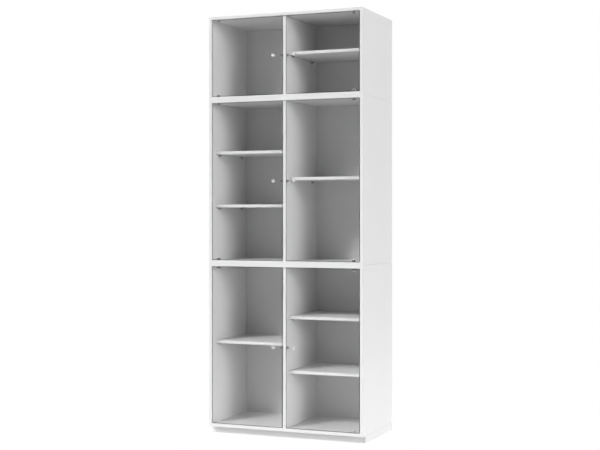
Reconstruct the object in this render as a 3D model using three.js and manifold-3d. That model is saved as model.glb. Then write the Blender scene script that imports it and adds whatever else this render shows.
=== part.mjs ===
// Glass-door bookcase: three stacked cases on a recessed plinth. Each case has a centre divider,
// a back panel held in grooves, loose shelves and two inset glass doors that turn on pivot hinges.
// Millimetres, +Z up, the front faces -Y, and the origin is on the floor under the middle of the whole.
import * as THREE from 'three';
import { mergeVertices } from 'three/addons/utils/BufferGeometryUtils.js';
import Module from 'manifold-3d';

// Cases, from the floor up, with the number of shelves in each bay.
const caseWidth = 696;
const caseDepth = 380;
const tallCaseHeight = 696;
const lowCaseHeight = 354;
const cases = [
  { name: 'lower', height: tallCaseHeight, shelves: { left: 1, right: 2 } },
  { name: 'middle', height: tallCaseHeight, shelves: { left: 2, right: 1 } },
  { name: 'upper', height: lowCaseHeight, shelves: { left: 0, right: 1 } },
];
const stackGap = 0.3;

// Boards.
const boardThickness = 12;
const glueLine = 0.1;
const rearCornerChamfer = 7;
const dividerFrontInset = 6;
const backThickness = 8;
const backInset = 17;
const grooveDepth = 4;
const grooveClearance = 0.1;

// Shelves, each lying on pins pushed into the boards at its ends.
const shelfThickness = 12;
const shelfFrontInset = 40;
const shelfSideClearance = 0.5;
const shelfBackClearance = 2;
const shelfPitch = 228;
const shelfPinRadius = 4;

// Plinth.
const plinthHeight = 30;
const plinthThickness = 12;
const plinthFrontInset = 34;

// Glass doors.
const glassThickness = 5;
const glassInset = 1;
const doorGap = 2;

// Pivot hinges: a block bonded behind the glass, and a pin that turns in the board above or below.
const pivotFromSide = 29;
const pivotBehindGlass = 4.5;
const hingeWidth = 15;
const hingeHeight = 10.5;
const hingeDepth = 11.7;
const hingeCornerRadius = 2;
const hingeCornerSegments = 4;
const hingeSeat = 0.3;
const hingeRunningGap = 0.5;
const pivotPinRadius = 2.5;
const pivotPinLength = 8;
const pivotPinRoot = 2;
const pivotRunningClearance = 0.1;
const pivotEndClearance = 1;
const roundSegments = 32;

// Knobs, each turned in one with the screw through the glass and its washer behind.
const knobFromDivider = 47.5;
const knobHeadRadius = 6.8;
const knobHeadLength = 6.8;
const knobHeadRounding = 2;
const knobNeckRadius = 4;
const knobLength = 10;
const knobFootRadius = 5.4;
const knobFootThickness = 1.2;
const knobScrewRadius = 2.6;
const knobHoleClearance = 0.4;
const knobSeat = 0.3;
const knobSegments = 24;
const knobWasherRadius = 6;
const knobWasherThickness = 3;
const roundingSteps = 3;

// Magnetic catches on the divider, behind the free edge of each door.
const catchReach = 10;
const catchHeight = 10;
const catchLength = 13;
const strikeSpace = 1.3;
const catchSegments = 12;

// Values that follow from the ones above.
const innerHalfWidth = caseWidth / 2 - boardThickness;
const backFront = caseDepth - backInset - backThickness;
const glassBack = glassInset + glassThickness;
const bayWidth = innerHalfWidth - boardThickness / 2;
const glassWidth = bayWidth - 2 * doorGap;
const bayCentre = boardThickness / 2 + bayWidth / 2;
const pivotX = innerHalfWidth - pivotFromSide;
const pivotFromFront = glassBack + pivotBehindGlass;
const knobStandOut = knobLength - glassInset;
const caseFront = knobStandOut - (caseDepth + knobStandOut) / 2;

const wasm = await Module();
wasm.setup();

const materials = {
  board: new THREE.MeshStandardMaterial({ color: 0xe9e9e9, roughness: 0.42, metalness: 0 }),
  plinth: new THREE.MeshStandardMaterial({ color: 0xdedede, roughness: 0.45, metalness: 0 }),
  glass: new THREE.MeshStandardMaterial({
    color: 0xdfe8e6, roughness: 0.03, metalness: 0, transparent: true, opacity: 0.3,
  }),
  hinge: new THREE.MeshStandardMaterial({ color: 0xb4b6b8, roughness: 0.22, metalness: 1 }),
  knob: new THREE.MeshStandardMaterial({ color: 0xececec, roughness: 0.15, metalness: 1 }),
  catch: new THREE.MeshStandardMaterial({ color: 0x3c3d3f, roughness: 0.5, metalness: 0 }),
};

function named(name, geometry, material) {
  const mesh = new THREE.Mesh(geometry, material);
  mesh.name = name;
  return mesh;
}

function boxBetween(low, high) {
  const size = low.map((value, axis) => high[axis] - value);
  const centre = low.map((value, axis) => (high[axis] + value) / 2);
  return new THREE.BoxGeometry(...size).translate(...centre);
}

// Turns an outline drawn in the Y-Z plane, extruded along its own Z, to run along X.
function extrudeAlongX(outline, xStart, length) {
  const geometry = new THREE.ExtrudeGeometry(outline, { depth: length, bevelEnabled: false });
  const yAxis = new THREE.Vector3(0, 1, 0);
  const zAxis = new THREE.Vector3(0, 0, 1);
  const xAxis = new THREE.Vector3(1, 0, 0);
  geometry.applyMatrix4(new THREE.Matrix4().makeBasis(yAxis, zAxis, xAxis));
  return geometry.translate(xStart, 0, 0);
}

function uprightCylinder(radius, x, y, zLow, zHigh) {
  const cylinder = new THREE.CylinderGeometry(radius, radius, zHigh - zLow, roundSegments);
  return cylinder.rotateX(Math.PI / 2).translate(x, y, (zLow + zHigh) / 2);
}

function solid(geometry) {
  const bare = geometry.clone();
  bare.deleteAttribute('normal');
  bare.deleteAttribute('uv');
  const merged = mergeVertices(bare);
  const vertProperties = new Float32Array(merged.attributes.position.array);
  const triVerts = new Uint32Array(merged.index.array);
  return new wasm.Manifold(new wasm.Mesh({ numProp: 3, vertProperties, triVerts }));
}

function toGeometry(manifold) {
  const mesh = manifold.getMesh();
  const geometry = new THREE.BufferGeometry();
  geometry.setAttribute('position', new THREE.BufferAttribute(mesh.vertProperties, mesh.numProp));
  geometry.setIndex(new THREE.BufferAttribute(mesh.triVerts, 1));
  geometry.computeVertexNormals();
  return geometry;
}

function cut(body, cutters) {
  return toGeometry(cutters.reduce((left, cutter) => left.subtract(solid(cutter)), solid(body)));
}

function join(first, second) {
  return toGeometry(solid(first).add(solid(second)));
}

// The back panel's box in a case, grown all round by a clearance to cut its grooves.
function backBox(height, clearance) {
  const halfWidth = innerHalfWidth + grooveDepth + clearance;
  const low = [-halfWidth, backFront - clearance, boardThickness - grooveDepth - clearance];
  const high = [halfWidth, backFront + backThickness + clearance, height - low[2]];
  return boxBetween(low, high);
}

// A side's outline, with its two rear corners taken off.
function sideOutline(height) {
  const outline = new THREE.Shape();
  outline.moveTo(0, 0);
  outline.lineTo(caseDepth - rearCornerChamfer, 0);
  outline.lineTo(caseDepth, rearCornerChamfer);
  outline.lineTo(caseDepth, height - rearCornerChamfer);
  outline.lineTo(caseDepth - rearCornerChamfer, height);
  outline.lineTo(0, height);
  outline.closePath();
  return outline;
}

function sideBoard(height, direction) {
  const xStart = direction > 0 ? innerHalfWidth : -caseWidth / 2;
  const board = extrudeAlongX(sideOutline(height), xStart, boardThickness);
  return cut(board, [backBox(height, grooveClearance)]);
}

// A case's top or bottom: it has the back panel's groove and a blind pivot hole for each door.
function endBoard(height, zLow, facing) {
  const halfWidth = innerHalfWidth - glueLine;
  const board = boxBetween([-halfWidth, 0, zLow], [halfWidth, caseDepth, zLow + boardThickness]);
  const mouth = facing < 0 ? zLow : zLow + boardThickness;
  const bottom = mouth - facing * (pinReachIntoBoard() + pivotEndClearance);
  const outside = mouth + facing * boardThickness;
  const zRange = [Math.min(bottom, outside), Math.max(bottom, outside)];
  const holes = [-pivotX, pivotX].map((x) => uprightCylinder(
    pivotPinRadius + pivotRunningClearance, x, pivotFromFront, ...zRange));
  return cut(board, [backBox(height, grooveClearance), ...holes]);
}

function pinReachIntoBoard() {
  return pivotPinLength - hingeRunningGap;
}

function divider(height) {
  const halfThickness = boardThickness / 2;
  const low = [-halfThickness, dividerFrontInset, boardThickness + glueLine];
  const high = [halfThickness, backFront - glueLine, height - boardThickness - glueLine];
  return boxBetween(low, high);
}

function shelf() {
  const width = bayWidth - 2 * shelfSideClearance;
  const depth = backFront - shelfBackClearance - shelfFrontInset;
  return new THREE.BoxGeometry(width, depth, shelfThickness);
}

// The middle heights of a bay's shelves, whose pins are spaced evenly about the middle of the case.
function shelfHeights(height, count) {
  const lowestPin = height / 2 - (shelfPitch * (count - 1)) / 2;
  const abovePin = shelfPinRadius + shelfThickness / 2;
  return Array.from({ length: count }, (_, index) => lowestPin + index * shelfPitch + abovePin);
}

function doorGlass(height, direction) {
  const glassHeight = height - 2 * boardThickness - 2 * doorGap;
  const pane = new THREE.BoxGeometry(glassWidth, glassThickness, glassHeight);
  const holeRadius = knobScrewRadius + knobHoleClearance;
  const drill = new THREE.CylinderGeometry(holeRadius, holeRadius, 2 * glassThickness, knobSegments);
  return cut(pane, [drill.translate(direction * (knobFromDivider - bayCentre), 0, 0)]);
}

// A hinge block with its pin standing on it. Its origin is on the pivot axis at the edge of the
// glass, and the pin points up.
function pivotHinge() {
  const halfWidth = hingeWidth / 2;
  const front = hingeSeat - pivotBehindGlass;
  const back = front + hingeDepth;
  const top = doorGap - hingeRunningGap;
  const outline = new THREE.Shape();
  outline.moveTo(-halfWidth, front);
  outline.lineTo(halfWidth, front);
  outline.lineTo(halfWidth, back - hingeCornerRadius);
  outline.absarc(halfWidth - hingeCornerRadius, back - hingeCornerRadius, hingeCornerRadius,
    0, Math.PI / 2, false);
  outline.lineTo(hingeCornerRadius - halfWidth, back);
  outline.absarc(hingeCornerRadius - halfWidth, back - hingeCornerRadius, hingeCornerRadius,
    Math.PI / 2, Math.PI, false);
  outline.closePath();
  const options = { depth: hingeHeight, bevelEnabled: false, curveSegments: hingeCornerSegments };
  const block = new THREE.ExtrudeGeometry(outline, options).translate(0, 0, top - hingeHeight);
  const pin = uprightCylinder(pivotPinRadius, 0, 0, top - pivotPinRoot, top + pivotPinLength);
  return join(block, pin);
}

// The knob's profile from the middle of its face to the middle of the washer behind the glass.
function knob() {
  const face = -knobLength;
  const headBack = face + knobHeadLength;
  const washerFront = glassThickness + knobSeat;
  const points = [new THREE.Vector2(0, face)];
  for (let step = 0; step <= roundingSteps; step += 1) {
    const angle = (step / roundingSteps) * (Math.PI / 2);
    const radius = knobHeadRadius - knobHeadRounding * (1 - Math.sin(angle));
    points.push(new THREE.Vector2(radius, face + knobHeadRounding * (1 - Math.cos(angle))));
  }
  points.push(new THREE.Vector2(knobHeadRadius, headBack));
  points.push(new THREE.Vector2(knobNeckRadius, headBack));
  points.push(new THREE.Vector2(knobNeckRadius, -knobSeat - knobFootThickness));
  points.push(new THREE.Vector2(knobFootRadius, -knobSeat - knobFootThickness));
  points.push(new THREE.Vector2(knobFootRadius, -knobSeat));
  points.push(new THREE.Vector2(knobScrewRadius, -knobSeat));
  points.push(new THREE.Vector2(knobScrewRadius, washerFront));
  points.push(new THREE.Vector2(knobWasherRadius, washerFront));
  points.push(new THREE.Vector2(knobWasherRadius, washerFront + knobWasherThickness));
  points.push(new THREE.Vector2(0, washerFront + knobWasherThickness));
  return new THREE.LatheGeometry(points, knobSegments);
}

// A D-shaped body with its flat side on the divider and its magnet facing the door.
function magneticCatch() {
  const halfHeight = catchHeight / 2;
  const straight = catchReach - halfHeight;
  const outline = new THREE.Shape();
  outline.moveTo(0, -halfHeight);
  outline.lineTo(straight, -halfHeight);
  outline.absarc(straight, 0, halfHeight, -Math.PI / 2, Math.PI / 2, false);
  outline.lineTo(0, halfHeight);
  outline.closePath();
  const options = { depth: catchLength, bevelEnabled: false, curveSegments: catchSegments };
  return new THREE.ExtrudeGeometry(outline, options).rotateX(Math.PI / 2);
}

function addCarcass(group, name, height) {
  group.add(named(`${name}_left_side`, sideBoard(height, -1), materials.board));
  group.add(named(`${name}_right_side`, sideBoard(height, 1), materials.board));
  group.add(named(`${name}_bottom_panel`, endBoard(height, 0, 1), materials.board));
  group.add(named(`${name}_top_panel`, endBoard(height, height - boardThickness, -1), materials.board));
  group.add(named(`${name}_divider`, divider(height), materials.board));
  group.add(named(`${name}_back_panel`, backBox(height, 0), materials.board));
}

function addShelves(group, name, height, direction, count) {
  const depthCentre = (shelfFrontInset + backFront - shelfBackClearance) / 2;
  shelfHeights(height, count).forEach((z, index) => {
    const board = named(`${name}_shelf_${index + 1}`, shelf(), materials.board);
    board.position.set(direction * bayCentre, depthCentre, z);
    group.add(board);
  });
}

function addDoor(group, name, height, direction) {
  const middle = height / 2;
  const glass = named(`${name}_door_glass`, doorGlass(height, direction), materials.glass);
  glass.position.set(direction * bayCentre, (glassInset + glassBack) / 2, middle);
  group.add(glass);

  const pull = named(`${name}_door_knob`, knob(), materials.knob);
  pull.position.set(direction * knobFromDivider, glassInset, middle);
  group.add(pull);

  const topHinge = named(`${name}_hinge_top`, pivotHinge(), materials.hinge);
  topHinge.position.set(direction * pivotX, pivotFromFront, height - boardThickness - doorGap);
  group.add(topHinge);

  const bottomHinge = named(`${name}_hinge_bottom`, pivotHinge(), materials.hinge);
  bottomHinge.rotation.y = Math.PI;
  bottomHinge.position.set(direction * pivotX, pivotFromFront, boardThickness + doorGap);
  group.add(bottomHinge);
}

function addCatch(group, name, height, direction) {
  const body = named(`${name}_catch`, magneticCatch(), materials.catch);
  const backEnd = glassBack + strikeSpace + catchLength;
  const frontEnd = glassBack + strikeSpace;
  body.rotation.z = direction > 0 ? 0 : Math.PI;
  body.position.set(
    direction * (boardThickness / 2 + glueLine), direction > 0 ? backEnd : frontEnd, height / 2);
  group.add(body);
}

function storageCase({ name, height, shelves }) {
  const group = new THREE.Group();
  addCarcass(group, name, height);
  for (const [side, direction] of [['left', -1], ['right', 1]]) {
    addShelves(group, `${name}_${side}`, height, direction, shelves[side]);
    addDoor(group, `${name}_${side}`, height, direction);
    addCatch(group, `${name}_${side}`, height, direction);
  }
  return group;
}

function plinth() {
  const group = new THREE.Group();
  const halfWidth = caseWidth / 2;
  const frontBack = plinthFrontInset + plinthThickness;
  const rearFront = caseDepth - plinthThickness;
  const innerEdge = halfWidth - plinthThickness;
  const boards = {
    plinth_front: [[-halfWidth, plinthFrontInset], [halfWidth, frontBack]],
    plinth_left: [[-halfWidth, frontBack + glueLine], [-innerEdge, caseDepth]],
    plinth_right: [[innerEdge, frontBack + glueLine], [halfWidth, caseDepth]],
    plinth_back: [[-innerEdge + glueLine, rearFront], [innerEdge - glueLine, caseDepth]],
  };
  for (const [name, [low, high]] of Object.entries(boards)) {
    group.add(named(name, boxBetween([...low, 0], [...high, plinthHeight]), materials.plinth));
  }
  return group;
}

const bookcase = new THREE.Group();
bookcase.position.y = caseFront;
bookcase.add(plinth());
let base = plinthHeight + stackGap;
for (const design of cases) {
  const group = storageCase(design);
  group.position.z = base;
  bookcase.add(group);
  base += design.height + stackGap;
}

export default bookcase;
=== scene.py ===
"""A tall white bookcase: three stacked cases on a plinth, with inset glass doors on pivot hinges.

Each section below makes one kind of piece, in the order in which the bookcase is put together.
All lengths are in metres, in the part's own frame: +Z up, the front faces -Y.
"""

import math

import bmesh
import bpy
from mathutils import Matrix, Vector


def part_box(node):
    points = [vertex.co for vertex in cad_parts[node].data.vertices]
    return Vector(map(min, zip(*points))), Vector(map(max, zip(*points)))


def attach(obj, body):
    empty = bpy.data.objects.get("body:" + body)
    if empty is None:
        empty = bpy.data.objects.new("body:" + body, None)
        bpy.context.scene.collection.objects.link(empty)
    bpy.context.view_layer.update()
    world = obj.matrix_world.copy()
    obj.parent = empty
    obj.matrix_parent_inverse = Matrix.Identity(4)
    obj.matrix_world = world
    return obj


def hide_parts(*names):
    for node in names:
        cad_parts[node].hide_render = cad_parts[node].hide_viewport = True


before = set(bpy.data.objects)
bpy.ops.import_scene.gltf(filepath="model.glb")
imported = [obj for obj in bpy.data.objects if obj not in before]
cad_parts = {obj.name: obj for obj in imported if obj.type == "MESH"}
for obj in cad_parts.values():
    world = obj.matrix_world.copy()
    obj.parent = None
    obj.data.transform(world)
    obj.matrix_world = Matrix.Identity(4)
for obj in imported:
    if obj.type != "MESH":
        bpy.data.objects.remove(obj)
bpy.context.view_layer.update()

# ---------------------------------------------------------------------------------------------
# Viewpoint. A level camera stands to the right of the bookcase at about elbow height, far enough
# back for a short telephoto lens. Its lens slides down a little, so uprights stay upright.
MM = 0.001
EYE_RIGHT = 2011 * MM
EYE_FROM_FRONT = 4675 * MM
EYE_HEIGHT = 934 * MM
EYE_TURN = math.radians(22.52)
LENS_LENGTH = 73.3
LENS_DROP = -0.0174
SENSOR_WIDTH = 36
FARTHEST_SEEN = 50

case_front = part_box("lower_left_side")[0].y


def place_camera():
    lens = bpy.data.cameras.new("camera")
    lens.sensor_width = SENSOR_WIDTH
    lens.lens = LENS_LENGTH
    lens.shift_y = LENS_DROP
    lens.clip_end = FARTHEST_SEEN
    camera = bpy.data.objects.new("camera", lens)
    camera.location = (EYE_RIGHT, case_front - EYE_FROM_FRONT, EYE_HEIGHT)
    camera.rotation_euler = (math.radians(90), 0, EYE_TURN)
    bpy.context.scene.collection.objects.link(camera)
    bpy.context.scene.camera = camera


place_camera()

# ---------------------------------------------------------------------------------------------
# Case boards. Sides, ends, dividers and backs are fibreboard, sanded, primed and sprayed with a
# satin white lacquer, which rounds every edge a little and leaves a fine orange peel. Each back
# lies in grooves, and each divider stands between the ends.
EASED_EDGE = 0.7 * MM
WELD_DISTANCE = 0.01 * MM
CASES = ("lower", "middle", "upper")
SIDES = (("left", -1), ("right", 1))
LACQUER_WHITE = (0.775, 0.775, 0.775, 1)
LACQUER_THIN = (0.755, 0.755, 0.757, 1)
LACQUER_ROUGHNESS = 0.4
SHEEN_SPREAD = 0.08
SHEEN_PATCH = 40 * MM
CLOUD_SIZE = 180 * MM
PEEL_SIZE = 1.6 * MM
PEEL_DEPTH = 0.012 * MM


class Shade:
    """One value in a material. Arithmetic on it adds Math nodes; node() adds any other node."""

    def __init__(self, tree, socket=None):
        self.tree = tree
        self.socket = socket

    def node(self, kind, settings=None, sockets=None, out=0):
        made = self.tree.nodes.new("ShaderNode" + kind)
        for name, value in (settings or {}).items():
            setattr(made, name, value)
        for name, value in (sockets or {}).items():
            if isinstance(value, Shade):
                self.tree.links.new(value.socket, made.inputs[name])
            else:
                made.inputs[name].default_value = value
        return Shade(self.tree, made.outputs[out] if made.outputs else None)

    def math(self, operation, first, second):
        return self.node("Math", {"operation": operation}, {0: first, 1: second})

    def __add__(self, other):
        return self.math("ADD", self, other)

    def __radd__(self, other):
        return self.math("ADD", other, self)

    def __sub__(self, other):
        return self.math("SUBTRACT", self, other)

    def __rsub__(self, other):
        return self.math("SUBTRACT", other, self)

    def __mul__(self, other):
        return self.math("MULTIPLY", self, other)

    def __rmul__(self, other):
        return self.math("MULTIPLY", other, self)


def new_material(name):
    """A material with an empty node tree, and the Shade that adds nodes to it."""
    material = bpy.data.materials.new(name)
    material.use_nodes = True
    material.node_tree.nodes.clear()
    return material, Shade(material.node_tree)


def finish_material(shade, sockets):
    """Ends a material in a Principled shader with these socket values."""
    surface = shade.node("BsdfPrincipled", None, sockets)
    shade.node("OutputMaterial", {"target": "ALL"}, {"Surface": surface})


def noise(shade, place, wavelength, detail=2.0):
    """Cloudy noise from 0 to 1 whose lumps are about one wavelength across."""
    sockets = {"Vector": place, "Scale": 1 / wavelength, "Detail": detail}
    return shade.node("TexNoise", None, sockets)


def bump(shade, height, depth):
    return shade.node("Bump", None, {"Height": height, "Distance": depth, "Strength": 1.0})


def lacquer(name, colour, thin_colour, roughness):
    material, shade = new_material(name)
    place = shade.node("TexCoord", out="Object")
    cloud = noise(shade, place, CLOUD_SIZE, detail=3.0)
    peel = noise(shade, place, PEEL_SIZE)
    colours = {"Factor": cloud, 6: colour, 7: thin_colour}
    finish_material(shade, {
        "Base Color": shade.node("Mix", {"data_type": "RGBA"}, colours, out=2),
        "Roughness": roughness + SHEEN_SPREAD * (noise(shade, place, SHEEN_PATCH) - 0.5),
        "Normal": bump(shade, peel, PEEL_DEPTH),
    })
    return material


def finish_cad_board(node, material):
    """Gives a board of the part its lacquer and its eased edges."""
    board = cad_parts[node]
    board.material_slots[0].material = material
    weld = board.modifiers.new("weld", "WELD")
    weld.merge_threshold = WELD_DISTANCE
    bevel = board.modifiers.new("eased_edges", "BEVEL")
    bevel.width = EASED_EDGE
    bevel.segments = 2
    bevel.limit_method = "ANGLE"


case_lacquer = lacquer("case_lacquer", LACQUER_WHITE, LACQUER_THIN, LACQUER_ROUGHNESS)
for case in CASES:
    for board_name in ("left_side", "right_side", "bottom_panel", "top_panel", "divider", "back_panel"):
        finish_cad_board(f"{case}_{board_name}", case_lacquer)

# ---------------------------------------------------------------------------------------------
# Plinth. A low frame of four lengths of the same lacquered board, glued at the corners and set
# back under the front of the lowest case.
PLINTH_ROUGHNESS = 0.46

plinth_lacquer = lacquer("plinth_lacquer", LACQUER_WHITE, LACQUER_THIN, PLINTH_ROUGHNESS)
for board_name in ("front", "left", "right", "back"):
    finish_cad_board(f"plinth_{board_name}", plinth_lacquer)

# ---------------------------------------------------------------------------------------------
# Shelves. Loose boards in the same lacquer, with a hair of room at each end. They lie on the
# pins and lift out.
shelf_nodes = sorted(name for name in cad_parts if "_shelf_" in name)
for node in shelf_nodes:
    finish_cad_board(node, case_lacquer)

# ---------------------------------------------------------------------------------------------
# Shelf pins. Four turned steel pins push into each bay's side boards, and the shelf lies on
# them: a thin shank in the board, and a thick peg under the shelf with a dimple in its end.
PIN_PEG_RADIUS = 4 * MM
PIN_PEG_LENGTH = 10 * MM
PIN_PEG_RIM = 0.6 * MM
PIN_DIMPLE_RADIUS = 2 * MM
PIN_DIMPLE_DEPTH = 0.8 * MM
PIN_SHANK_RADIUS = 2.5 * MM
PIN_SHANK_LENGTH = 7 * MM
PIN_FROM_FRONT = 74 * MM
PIN_FROM_BACK = 60 * MM
PIN_STEPS = 24
SHELF_END_GAP = 0.5 * MM
POLE_MERGE = 0.0001 * MM
SMOOTH_ANGLE = 32
STEEL = (0.42, 0.42, 0.43, 1)
STEEL_ROUGHNESS = 0.32
BRUSH_LINE = 0.12 * MM
BRUSH_DEPTH = 0.002 * MM
TARNISH_PATCH = 6 * MM
TARNISH_SPREAD = 0.12


def brushed_metal(name, colour, roughness):
    material, shade = new_material(name)
    place = shade.node("TexCoord", out="Object")
    grain = noise(shade, place, BRUSH_LINE)
    tarnish = noise(shade, place, TARNISH_PATCH)
    finish_material(shade, {
        "Base Color": colour,
        "Metallic": 1.0,
        "Roughness": roughness + TARNISH_SPREAD * (tarnish - 0.5),
        "Normal": bump(shade, grain, BRUSH_DEPTH),
    })
    return material


def spin_profile(points, steps, matrix):
    """A turned shape: points are (radius, along) pairs from axis to axis, turned about local Z."""
    mesh = bmesh.new()
    corners = [mesh.verts.new((radius, 0, along)) for radius, along in points]
    edges = [mesh.edges.new(pair) for pair in zip(corners, corners[1:])]
    bmesh.ops.spin(mesh, geom=corners + edges, cent=(0, 0, 0), axis=(0, 0, 1), dvec=(0, 0, 0),
                   angle=2 * math.pi, steps=steps, use_merge=True, use_normal_flip=False)
    bmesh.ops.remove_doubles(mesh, verts=mesh.verts, dist=POLE_MERGE)
    bmesh.ops.recalc_face_normals(mesh, faces=mesh.faces)
    bmesh.ops.transform(mesh, matrix=matrix, verts=mesh.verts)
    return mesh


def add_piece(name, mesh, materials, body, replaces=()):
    """Makes a finished object from a bmesh and lets it ride on a body of the part."""
    data = bpy.data.meshes.new(name)
    mesh.to_mesh(data)
    mesh.free()
    data.shade_smooth()
    data.set_sharp_from_angle(angle=math.radians(SMOOTH_ANGLE))
    for material in materials:
        data.materials.append(material)
    piece = bpy.data.objects.new(name, data)
    bpy.context.scene.collection.objects.link(piece)
    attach(piece, body)
    if replaces:
        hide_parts(*replaces)
    return piece


def arc(radius_centre, along_centre, radius, start, end, steps):
    """Points of a profile's round corner, with angles in degrees from the radial direction."""
    angles = (math.radians(start + (end - start) * step / steps) for step in range(steps + 1))
    return [(radius_centre + radius * math.cos(angle), along_centre + radius * math.sin(angle))
            for angle in angles]


def merge_into(target, extra):
    """Moves another bmesh's geometry into the target."""
    data = bpy.data.meshes.new("merge")
    extra.to_mesh(data)
    extra.free()
    target.from_mesh(data)
    bpy.data.meshes.remove(data)


def shelf_pin_profile():
    rim = PIN_PEG_RIM
    points = [(0, -PIN_SHANK_LENGTH), (PIN_SHANK_RADIUS, -PIN_SHANK_LENGTH), (PIN_SHANK_RADIUS, 0)]
    points.append((PIN_PEG_RADIUS, 0))
    points += arc(PIN_PEG_RADIUS - rim, PIN_PEG_LENGTH - rim, rim, 0, 90, 3)
    points.append((PIN_DIMPLE_RADIUS, PIN_PEG_LENGTH))
    points.append((0, PIN_PEG_LENGTH - PIN_DIMPLE_DEPTH))
    return points


def add_shelf_pins(node):
    """One piece for the four pins of a shelf, turned to point inwards from each side of the bay."""
    low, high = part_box(node)
    pins = bmesh.new()
    rows = (case_front + PIN_FROM_FRONT, high.y - PIN_FROM_BACK)
    for wall, turn in ((low.x - SHELF_END_GAP, 90), (high.x + SHELF_END_GAP, -90)):
        for row in rows:
            place = Matrix.Translation((wall, row, low.z - PIN_PEG_RADIUS))
            turned = place @ Matrix.Rotation(math.radians(turn), 4, "Y")
            merge_into(pins, spin_profile(shelf_pin_profile(), PIN_STEPS, turned))
    add_piece(f"{node}_pins", pins, [pin_steel], "cabinet")


pin_steel = brushed_metal("pin_steel", STEEL, STEEL_ROUGHNESS)
for node in shelf_nodes:
    add_shelf_pins(node)

# ---------------------------------------------------------------------------------------------
# Pivot bushes. A white nylon ring lies in each pivot hole's mouth, and its thin flange keeps the
# hinge block off the lacquer.
BUSH_BORE = 2.6 * MM
BUSH_RADIUS = 5 * MM
BUSH_FLANGE = 0.3 * MM
BUSH_SINK = 0.1 * MM
BUSH_RIM = 0.12 * MM
BUSH_STEPS = 32
PIVOT_PIN_LENGTH = 8 * MM
PIVOT_FROM_FRONT = 10.5 * MM
RUNNING_GAP = 0.5 * MM
NYLON_WHITE = (0.7, 0.7, 0.69, 1)
NYLON_ROUGHNESS = 0.45
MOULD_PATCH = 3 * MM
MOULD_SPREAD = 0.1
MOULD_GRAIN = 0.3 * MM
MOULD_DEPTH = 0.006 * MM


def moulded_plastic(name, colour, roughness):
    material, shade = new_material(name)
    place = shade.node("TexCoord", out="Object")
    finish_material(shade, {
        "Base Color": colour,
        "Roughness": roughness + MOULD_SPREAD * (noise(shade, place, MOULD_PATCH) - 0.5),
        "Normal": bump(shade, noise(shade, place, MOULD_GRAIN), MOULD_DEPTH),
    })
    return material


def hinge_block_box(node):
    """A hinge node's box without its pin, and which way the pin points: 1 is up."""
    low, high = (corner.copy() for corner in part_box(node))
    if node.endswith("_top"):
        high.z -= PIVOT_PIN_LENGTH
        return low, high, 1
    low.z += PIVOT_PIN_LENGTH
    return low, high, -1


def ring_profile(bore, radius, bottom, top, rim):
    """A closed profile for a washer that lies between two heights, with its outer rim rounded."""
    points = [(bore, top), (bore, bottom), (radius, bottom)]
    points += arc(radius - rim, top - rim, rim, 0, 90, 3)
    return points + [(bore, top)]


def add_pivot_bush(node):
    low, high, up = hinge_block_box(node)
    panel = high.z + RUNNING_GAP if up > 0 else low.z - RUNNING_GAP
    place = Matrix.Translation(((low.x + high.x) / 2, case_front + PIVOT_FROM_FRONT, panel))
    facing = Matrix.Rotation(math.pi if up > 0 else 0, 4, "X")
    profile = ring_profile(BUSH_BORE, BUSH_RADIUS, -BUSH_SINK, BUSH_FLANGE, BUSH_RIM)
    bush = spin_profile(profile, BUSH_STEPS, place @ facing)
    add_piece(node + "_bush", bush, [nylon], "cabinet")


nylon = moulded_plastic("nylon", NYLON_WHITE, NYLON_ROUGHNESS)
hinge_nodes = sorted(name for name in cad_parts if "_hinge_" in name)
for node in hinge_nodes:
    add_pivot_bush(node)

# ---------------------------------------------------------------------------------------------
# Hinge blocks. A small chromed zinc block is bonded behind the glass at each outer corner, with
# a clear resin film. Its rear corners are rounded, a socket screw at the back locks the pin, and
# the pin stands on it.
BLOCK_CORNER = 2 * MM
BLOCK_ROUND = 0.5 * MM
PIVOT_PIN_RADIUS = 2.5 * MM
PIVOT_PIN_ROOT = 2 * MM
PIVOT_PIN_ROUND = 0.8 * MM
PIVOT_PIN_STEPS = 32
SCREW_RADIUS = 2.4 * MM
SCREW_SOCKET_RADIUS = 1.2 * MM
SCREW_SOCKET_DEPTH = 1 * MM
SCREW_STAND = 0.5 * MM
BOND_EDGE = 0.6 * MM
BOND_GAP = 0.03 * MM
RESIN_TINT = (0.97, 0.97, 0.97, 1)
RESIN_HAZE = 0.04
CLEAR_IOR = 1.5
HAZE_PATCH = 90 * MM
CHROME = (0.74, 0.74, 0.74, 1)
CHROME_ROUGHNESS = 0.1
POLISH_PATCH = 4 * MM
POLISH_SPREAD = 0.06
POLISH_WAVE = 1.2 * MM
POLISH_DEPTH = 0.001 * MM


def polished_metal(name, colour, roughness):
    material, shade = new_material(name)
    place = shade.node("TexCoord", out="Object")
    finish_material(shade, {
        "Base Color": colour,
        "Metallic": 1.0,
        "Roughness": roughness + POLISH_SPREAD * (noise(shade, place, POLISH_PATCH) - 0.5),
        "Normal": bump(shade, noise(shade, place, POLISH_WAVE), POLISH_DEPTH),
    })
    return material


def clear_material(name, tint, haze):
    material, shade = new_material(name)
    place = shade.node("TexCoord", out="Object")
    finish_material(shade, {
        "Base Color": tint,
        "Roughness": haze * noise(shade, place, HAZE_PATCH),
        "IOR": CLEAR_IOR,
        "Transmission Weight": 1.0,
    })
    return material


def let_light_through(piece):
    """Clear pieces cast no shadow, and only the view and light seen through them meet them."""
    piece.visible_shadow = False
    piece.visible_diffuse = False
    piece.visible_glossy = False


def box_mesh(low, high):
    mesh = bmesh.new()
    size = Matrix.Diagonal((high.x - low.x, high.y - low.y, high.z - low.z, 1))
    bmesh.ops.create_cube(mesh, size=1, matrix=Matrix.Translation((low + high) / 2) @ size)
    return mesh


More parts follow.
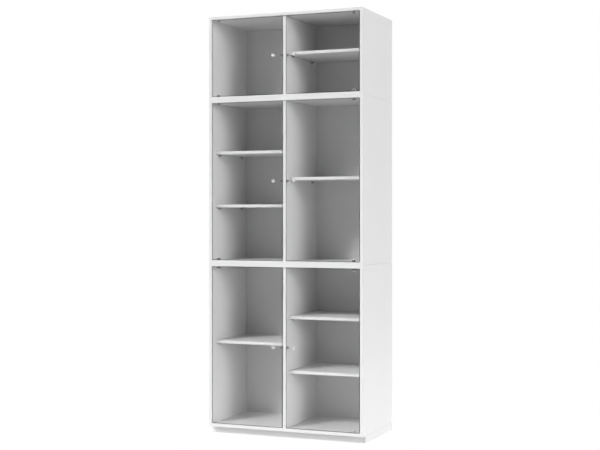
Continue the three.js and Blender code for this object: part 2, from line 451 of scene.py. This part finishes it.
def round_edges(mesh, edges, radius, segments):
    bmesh.ops.bevel(mesh, geom=list(edges), offset=radius, offset_type="OFFSET", segments=segments,
                    profile=0.5, affect="EDGES", material=-1, clamp_overlap=True)


def round_all(mesh, radius, segments, least_angle):
    """Rounds every edge whose faces turn by more than an angle in degrees."""
    sharp = [edge for edge in mesh.edges if edge.calc_face_angle(0) > math.radians(least_angle)]
    round_edges(mesh, sharp, radius, segments)


def socket_screw(radius, stand, matrix):
    """A screw's head seen in a face: a low rim with a six-sided socket, facing local Z."""
    mesh = bmesh.new()
    bmesh.ops.create_cone(mesh, cap_ends=True, segments=24, radius1=radius, radius2=radius,
                          depth=2 * stand)
    top = max(mesh.faces, key=lambda face: face.calc_center_median().z)
    bmesh.ops.inset_region(mesh, faces=[top], thickness=radius - SCREW_SOCKET_RADIUS, depth=0)
    bmesh.ops.translate(mesh, verts=top.verts, vec=(0, 0, -SCREW_SOCKET_DEPTH))
    bmesh.ops.transform(mesh, matrix=matrix, verts=mesh.verts)
    return mesh


def pivot_pin(node_box, up):
    low, high = node_box
    rim = PIVOT_PIN_ROUND
    reach = PIVOT_PIN_ROOT + PIVOT_PIN_LENGTH
    points = [(0, 0), (PIVOT_PIN_RADIUS, 0)]
    points += arc(PIVOT_PIN_RADIUS - rim, reach - rim, rim, 0, 90, 4)
    points.append((0, reach))
    start = high.z - PIVOT_PIN_ROOT if up > 0 else low.z + PIVOT_PIN_ROOT
    place = Matrix.Translation(((low.x + high.x) / 2, case_front + PIVOT_FROM_FRONT, start))
    facing = Matrix.Rotation(0 if up > 0 else math.pi, 4, "X")
    return spin_profile(points, PIVOT_PIN_STEPS, place @ facing)


def door_of(hinge_node):
    return hinge_node.split("_hinge_")[0] + "_door"


def add_hinge(node):
    low, high, up = hinge_block_box(node)
    block = box_mesh(low, high)
    rear = [edge for edge in block.edges
            if all(abs(corner.co.y - high.y) < WELD_DISTANCE for corner in edge.verts)
            and abs(edge.verts[0].co.z - edge.verts[1].co.z) > WELD_DISTANCE]
    round_edges(block, rear, BLOCK_CORNER, 5)
    round_all(block, BLOCK_ROUND, 3, least_angle=50)
    middle = (low + high) / 2
    backwards = Matrix.Rotation(-math.pi / 2, 4, "X")
    screw_place = Matrix.Translation((middle.x, high.y, middle.z)) @ backwards
    merge_into(block, socket_screw(SCREW_RADIUS, SCREW_STAND, screw_place))
    merge_into(block, pivot_pin((low, high), up))
    add_piece(node + "_block", block, [hinge_chrome], door_of(node), replaces=[node])


def add_bond(node):
    """The clear film that holds a block to the glass, trimmed a little inside the block's edges."""
    low, high, _ = hinge_block_box(node)
    pane_low, pane_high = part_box(door_of(node) + "_glass")
    bottom = max(low.z, pane_low.z) + BOND_EDGE
    top = min(high.z, pane_high.z) - BOND_EDGE
    film_low = Vector((low.x + BOND_EDGE, pane_high.y + BOND_GAP, bottom))
    film_high = Vector((high.x - BOND_EDGE, low.y - BOND_GAP, top))
    film = box_mesh(film_low, film_high)
    bond = add_piece(node + "_bond", film, [bond_film], door_of(node))
    let_light_through(bond)


hinge_chrome = polished_metal("hinge_chrome", CHROME, CHROME_ROUGHNESS)
bond_film = clear_material("bond_film", RESIN_TINT, RESIN_HAZE)
for node in hinge_nodes:
    add_hinge(node)
    add_bond(node)

# ---------------------------------------------------------------------------------------------
# Magnetic catches. Each is a small grey housing screwed to the divider, with the magnet's pole
# plate showing at the end that faces the door.
CATCH_ROUND = 0.7 * MM
CATCH_PLATE_INSET = 1.8 * MM
CATCH_PLATE_STEP = 0.1 * MM
CATCH_PLATE_SINK = 0.25 * MM
CATCH_STEPS = 12
HOUSING_GREY = (0.34, 0.34, 0.345, 1)
HOUSING_ROUGHNESS = 0.42


def catch_mesh(low, high, direction):
    """A D-shaped bar along Y: a round bar, cut flat on the divider's side and filled square."""
    mesh = bmesh.new()
    radius = (high.z - low.z) / 2
    middle = (low + high) / 2
    centre_x = high.x - radius if direction > 0 else low.x + radius
    wall_x = low.x if direction > 0 else high.x
    outline = []
    for step in range(CATCH_STEPS + 1):
        angle = -math.pi / 2 + math.pi * step / CATCH_STEPS
        x = centre_x + direction * radius * math.cos(angle)
        outline.append(mesh.verts.new((x, low.y, middle.z + radius * math.sin(angle))))
    outline.append(mesh.verts.new((wall_x, low.y, high.z)))
    outline.append(mesh.verts.new((wall_x, low.y, low.z)))
    face = mesh.faces.new(outline)
    pushed = bmesh.ops.extrude_face_region(mesh, geom=[face], use_keep_orig=True)
    moved = [item for item in pushed["geom"] if isinstance(item, bmesh.types.BMVert)]
    bmesh.ops.translate(mesh, verts=moved, vec=(0, high.y - low.y, 0))
    bmesh.ops.recalc_face_normals(mesh, faces=mesh.faces)
    round_all(mesh, CATCH_ROUND, 3, least_angle=50)
    front = min(mesh.faces, key=lambda item: (item.calc_center_median().y, -item.calc_area()))
    bmesh.ops.inset_region(mesh, faces=[front], thickness=CATCH_PLATE_INSET, depth=0)
    bmesh.ops.inset_region(mesh, faces=[front], thickness=CATCH_PLATE_STEP, depth=-CATCH_PLATE_SINK)
    front.material_index = 1
    return mesh


def add_catch(case, side, direction):
    node = f"{case}_{side}_catch"
    low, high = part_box(node)
    mesh = catch_mesh(low, high, direction)
    add_piece(node + "_housing", mesh, [housing_grey, pin_steel], "cabinet",
              replaces=[node])


housing_grey = moulded_plastic("housing_grey", HOUSING_GREY, HOUSING_ROUGHNESS)
for case in CASES:
    for side, direction in SIDES:
        add_catch(case, side, direction)

# ---------------------------------------------------------------------------------------------
# Glass panes. Clear toughened float glass, with a ground and polished edge whose arrises are
# taken off, and a drilled hole for the knob's screw. Seen along its length the edge looks dark, so
# the edge and its arrises are painted near black: painted shade for the refraction and shadow there.
ARRIS = 1.6 * MM
HOLE_STEPS = 32
KNOB_HOLE_RADIUS = 3 * MM
GLASS_TINT = (0.985, 0.985, 0.985, 1)
GLASS_HAZE = 0.012
# Painted shade: the near-black colour of the glass edge stands in for the darkness that refraction and
# shadow give it.
GLASS_EDGE_PAINTED_SHADE = (0.03, 0.034, 0.033, 1)
EDGE_ROUGHNESS = 0.25
EDGE_SPREAD = 0.1
EDGE_PATCH = 2 * MM
EDGE_GRAIN = 0.4 * MM
EDGE_DEPTH = 0.004 * MM


# The edge material's near-black base colour is painted shade, not the glass's own colour.
def ground_edge_painted_shade():
    material, shade = new_material("glass_edge_painted_shade")
    place = shade.node("TexCoord", out="Object")
    finish_material(shade, {
        "Base Color": GLASS_EDGE_PAINTED_SHADE,
        "Roughness": EDGE_ROUGHNESS + EDGE_SPREAD * noise(shade, place, EDGE_PATCH),
        "Normal": bump(shade, noise(shade, place, EDGE_GRAIN), EDGE_DEPTH),
    })
    return material


def pane_mesh(low, high, hole_x):
    """A box with a round hole through it along Y: its front face is cut, then pushed through."""
    mesh = bmesh.new()
    middle = (low.z + high.z) / 2
    outline = [mesh.verts.new((x, low.y, z)) for x, z in
               ((low.x, low.z), (high.x, low.z), (high.x, high.z), (low.x, high.z))]
    outer = [mesh.edges.new((outline[i], outline[(i + 1) % 4])) for i in range(4)]
    face_on = Matrix.Translation((hole_x, low.y, middle)) @ Matrix.Rotation(math.pi / 2, 4, "X")
    ring = bmesh.ops.create_circle(mesh, segments=HOLE_STEPS, radius=KNOB_HOLE_RADIUS,
                                   matrix=face_on)
    inner = list({edge for corner in ring["verts"] for edge in corner.link_edges})
    bmesh.ops.triangle_fill(mesh, edges=outer + inner, use_beauty=True, normal=(0, -1, 0))
    sheet = list(mesh.faces)
    pushed = bmesh.ops.extrude_face_region(mesh, geom=sheet, use_keep_orig=True)
    moved = [item for item in pushed["geom"] if isinstance(item, bmesh.types.BMVert)]
    bmesh.ops.translate(mesh, verts=moved, vec=(0, high.y - low.y, 0))
    bmesh.ops.recalc_face_normals(mesh, faces=mesh.faces)
    round_all(mesh, ARRIS, 1, least_angle=60)
    # Edge and arris faces take the edge material, whose near-black colour is painted shade.
    for face in mesh.faces:
        face.material_index = 0 if abs(face.normal.y) > 0.99 else 1
    return mesh


def add_pane(case, side):
    node = f"{case}_{side}_door_glass"
    low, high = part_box(node)
    knob_low, knob_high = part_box(f"{case}_{side}_door_knob")
    mesh = pane_mesh(low, high, (knob_low.x + knob_high.x) / 2)
    pane = add_piece(f"{case}_{side}_glass_pane", mesh, [pane_glass, pane_edge_painted_shade],
                     f"{case}_{side}_door", replaces=[node])
    let_light_through(pane)


pane_glass = clear_material("door_glass", GLASS_TINT, GLASS_HAZE)
pane_edge_painted_shade = ground_edge_painted_shade()
for case in CASES:
    for side, _ in SIDES:
        add_pane(case, side)

# ---------------------------------------------------------------------------------------------
# Knobs. A satin steel button stands in front of each pane on a short neck and a foot, with a thin
# nylon washer under the foot. A slotted screw and a second nylon washer hold it from behind.
KNOB_STEPS = 48
KNOB_HEAD_RADIUS = 6.8 * MM
KNOB_HEAD_LENGTH = 6.8 * MM
KNOB_NECK_RADIUS = 4 * MM
KNOB_FOOT_RADIUS = 5.4 * MM
KNOB_FOOT_THICKNESS = 1.2 * MM
KNOB_FOOT_ROUND = 0.4 * MM
KNOB_DISH = 0.25 * MM
KNOB_DISH_EDGE = 0.6 * MM
KNOB_ROUND = 1.4 * MM
KNOB_BACK_ROUND = 0.5 * MM
KNOB_FILLET = 0.3 * MM
KNOB_SHANK_LENGTH = 4 * MM
KNOB_SCREW_RADIUS = 2.6 * MM
GLASS_SEAT = 0.3 * MM
SEAT_ROUND = 0.1 * MM
SEAT_INSET = 0.2 * MM
WASHER_GAP = 0.02 * MM
REAR_WASHER_RADIUS = 6 * MM
REAR_WASHER_THICKNESS = 1.2 * MM
REAR_WASHER_ROUND = 0.3 * MM
SCREW_THREAD_GAP = 0.1 * MM
SCREW_HEAD_RADIUS = 4.4 * MM
SCREW_HEAD_HEIGHT = 1.7 * MM
SCREW_HEAD_ROUND = 0.8 * MM
SCREW_SLOT_HALF = 0.6 * MM
SCREW_SLOT_DEPTH = 0.9 * MM
SCREW_STEPS = 32
KNOB_STEEL = (0.93, 0.93, 0.93, 1)
KNOB_ROUGHNESS = 0.42


def knob_profile(length):
    """From the middle of the face to the end of its threaded part, measured from the glass."""
    back = length - KNOB_HEAD_LENGTH
    dish_radius = KNOB_HEAD_RADIUS - KNOB_ROUND - KNOB_DISH_EDGE
    foot_top = GLASS_SEAT + KNOB_FOOT_THICKNESS
    points = [(0, length - KNOB_DISH), (dish_radius * 0.6, length - 0.75 * KNOB_DISH)]
    points.append((dish_radius, length - 0.1 * KNOB_DISH))
    points += arc(KNOB_HEAD_RADIUS - KNOB_ROUND, length - KNOB_ROUND, KNOB_ROUND, 90, 0, 7)
    points += arc(KNOB_HEAD_RADIUS - KNOB_BACK_ROUND, back + KNOB_BACK_ROUND, KNOB_BACK_ROUND, 0, -90, 3)
    points += [(KNOB_NECK_RADIUS + KNOB_FILLET, back), (KNOB_NECK_RADIUS, back - KNOB_FILLET)]
    points += [(KNOB_NECK_RADIUS, foot_top + KNOB_FILLET), (KNOB_NECK_RADIUS + KNOB_FILLET, foot_top)]
    points += arc(KNOB_FOOT_RADIUS - KNOB_FOOT_ROUND, foot_top - KNOB_FOOT_ROUND, KNOB_FOOT_ROUND, 90, 0, 3)
    points += [(KNOB_FOOT_RADIUS, GLASS_SEAT), (KNOB_SCREW_RADIUS, GLASS_SEAT)]
    return points + [(KNOB_SCREW_RADIUS, -KNOB_SHANK_LENGTH), (0, -KNOB_SHANK_LENGTH)]


def slotted_screw(matrix):
    """A pan-headed screw facing local Z, with a straight slot across its head."""
    base = REAR_WASHER_THICKNESS
    top = base + SCREW_HEAD_HEIGHT
    thread = KNOB_SCREW_RADIUS - SCREW_THREAD_GAP
    points = [(0, 0), (thread, 0), (thread, base), (SCREW_HEAD_RADIUS, base)]
    points += arc(SCREW_HEAD_RADIUS - SCREW_HEAD_ROUND, top - SCREW_HEAD_ROUND, SCREW_HEAD_ROUND, 0, 90, 5)
    points.append((0, top))
    mesh = spin_profile(points, SCREW_STEPS, Matrix.Identity(4))
    for side in (-SCREW_SLOT_HALF, SCREW_SLOT_HALF):
        parts = mesh.verts[:] + mesh.edges[:] + mesh.faces[:]
        bmesh.ops.bisect_plane(mesh, geom=parts, plane_co=(side, 0, 0), plane_no=(1, 0, 0))
    slot_floor = [corner for corner in mesh.verts
                  if abs(corner.co.x) < SCREW_SLOT_HALF * 1.01 and corner.co.z > top - 1e-6]
    bmesh.ops.translate(mesh, verts=slot_floor, vec=(0, 0, -SCREW_SLOT_DEPTH))
    bmesh.ops.transform(mesh, matrix=matrix, verts=mesh.verts)
    return mesh


def add_knob(case, side):
    node = f"{case}_{side}_door_knob"
    body = f"{case}_{side}_door"
    low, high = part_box(node)
    pane_low, pane_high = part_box(f"{case}_{side}_door_glass")
    middle = (low + high) / 2
    forwards = Matrix.Rotation(math.pi / 2, 4, "X")
    backwards = Matrix.Rotation(-math.pi / 2, 4, "X")
    front = Matrix.Translation((middle.x, pane_low.y, middle.z)) @ forwards
    rear = Matrix.Translation((middle.x, pane_high.y, middle.z)) @ backwards
    button = spin_profile(knob_profile(pane_low.y - low.y), KNOB_STEPS, front)
    add_piece(node + "_button", button, [knob_steel], body, replaces=[node])
    rear_washer = ring_profile(KNOB_SCREW_RADIUS, REAR_WASHER_RADIUS, WASHER_GAP,
                               REAR_WASHER_THICKNESS, REAR_WASHER_ROUND)
    foot_washer = ring_profile(KNOB_SCREW_RADIUS, KNOB_FOOT_RADIUS - SEAT_INSET, WASHER_GAP,
                               GLASS_SEAT, SEAT_ROUND)
    washers = spin_profile(rear_washer, KNOB_STEPS, rear)
    merge_into(washers, spin_profile(foot_washer, KNOB_STEPS, front))
    add_piece(node + "_washers", washers, [nylon], body)
    add_piece(node + "_screw", slotted_screw(rear), [pin_steel], body)


knob_steel = polished_metal("knob_steel", KNOB_STEEL, KNOB_ROUGHNESS)
for case in CASES:
    for side, _ in SIDES:
        add_knob(case, side)

# ---------------------------------------------------------------------------------------------
# Strikes. A small turned steel disc is bonded behind each pane's free edge, in front of the
# catch, where the magnet holds it.
STRIKE_RADIUS = 4.5 * MM
STRIKE_THICKNESS = 1 * MM
STRIKE_FROM_EDGE = 0.8 * MM
STRIKE_ROUND = 0.3 * MM
STRIKE_GAP = 0.03 * MM
STRIKE_STEPS = 32


def add_strike(case, side, direction):
    pane_low, pane_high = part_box(f"{case}_{side}_door_glass")
    edge_x = pane_low.x if direction > 0 else pane_high.x
    centre_x = edge_x + direction * (STRIKE_RADIUS + STRIKE_FROM_EDGE)
    middle = (pane_low.z + pane_high.z) / 2
    backwards = Matrix.Rotation(-math.pi / 2, 4, "X")
    place = Matrix.Translation((centre_x, pane_high.y, middle)) @ backwards
    points = [(0, STRIKE_GAP), (STRIKE_RADIUS, STRIKE_GAP)]
    points += arc(STRIKE_RADIUS - STRIKE_ROUND, STRIKE_THICKNESS - STRIKE_ROUND, STRIKE_ROUND, 0, 90, 3)
    points.append((0, STRIKE_THICKNESS))
    disc = spin_profile(points, STRIKE_STEPS, place)
    add_piece(f"{case}_{side}_strike", disc, [pin_steel], f"{case}_{side}_door")


for case in CASES:
    for side, direction in SIDES:
        add_strike(case, side, direction)

# ---------------------------------------------------------------------------------------------
# Studio. Softboxes stand round a white sweep: one high and one wide at the front left, two low at
# the front right, one high on the right, and a dim wall in front. The sweep and the floor look
# pure white.

# Each softbox: which way it lies from the front, how high, how sharp its edge is, how strong.
SOFTBOXES = (
    (-26, 40, 179, 55.5),
    (-60, 20, 20, 4.2),
    (58, 14, 160, 8.4),
    (64, 9, 40, 9.8),
    (132, 40, 23, 9.2),
    (-24, 8, 30, 0.3),
)
FLOOR_LIGHT = 0.74
FLOOR_REACH = 3.5
FLOOR_HALF = 12


def direction_to(azimuth, elevation):
    """The unit vector towards a light; azimuth 0 is straight in front, and grows to the right."""
    across = math.cos(math.radians(elevation))
    turn = math.radians(azimuth)
    return (across * math.sin(turn), -across * math.cos(turn), math.sin(math.radians(elevation)))


def seen_directly(shade):
    """1 for what the camera sees straight or through glass, 0 for the light that falls on things."""
    straight = shade.node("LightPath", out="Is Camera Ray")
    through = shade.node("LightPath", out="Is Transmission Ray")
    return shade.math("MAXIMUM", straight, through)


def light_studio():
    world = bpy.data.worlds.new("studio")
    bpy.context.scene.world = world
    world.use_nodes = True
    world.node_tree.nodes.clear()
    shade = Shade(world.node_tree)
    heading = shade.node("TexCoord", out="Generated")
    light = 0
    for azimuth, elevation, sharpness, strength in SOFTBOXES:
        towards = direction_to(azimuth, elevation)
        vectors = {0: heading, 1: towards}
        facing = shade.node("VectorMath", {"operation": "DOT_PRODUCT"}, vectors, out="Value")
        spread = shade.math("POWER", shade.math("MAXIMUM", facing, 0.0), sharpness)
        light = light + strength * spread
    seen = seen_directly(shade)
    strength = light * (1 - seen) + seen
    sky = shade.node("Background", None, {"Color": (1, 1, 1, 1), "Strength": strength})
    shade.node("OutputWorld", None, {"Surface": sky})
    bpy.context.scene.view_settings.view_transform = "Standard"


def lay_floor():
    mesh = bmesh.new()
    bmesh.ops.create_grid(mesh, x_segments=4, y_segments=4, size=FLOOR_HALF)
    data = bpy.data.meshes.new("floor")
    mesh.to_mesh(data)
    mesh.free()
    material, shade = new_material("white_sheet")
    seen = seen_directly(shade)
    place = shade.node("TexCoord", out="Object")
    distance = shade.node("VectorMath", {"operation": "LENGTH"}, {0: place}, out="Value")
    fading = 1 + shade.math("POWER", distance * (1 / FLOOR_REACH), 4.0)
    given = shade.math("DIVIDE", FLOOR_LIGHT, fading)
    strength = given * (1 - seen) + seen
    glow = shade.node("Emission", None, {"Color": (1, 1, 1, 1), "Strength": strength})
    shade.node("OutputMaterial", None, {"Surface": glow})
    data.materials.append(material)
    floor = bpy.data.objects.new("floor", data)
    bpy.context.scene.collection.objects.link(floor)


light_studio()
lay_floor()
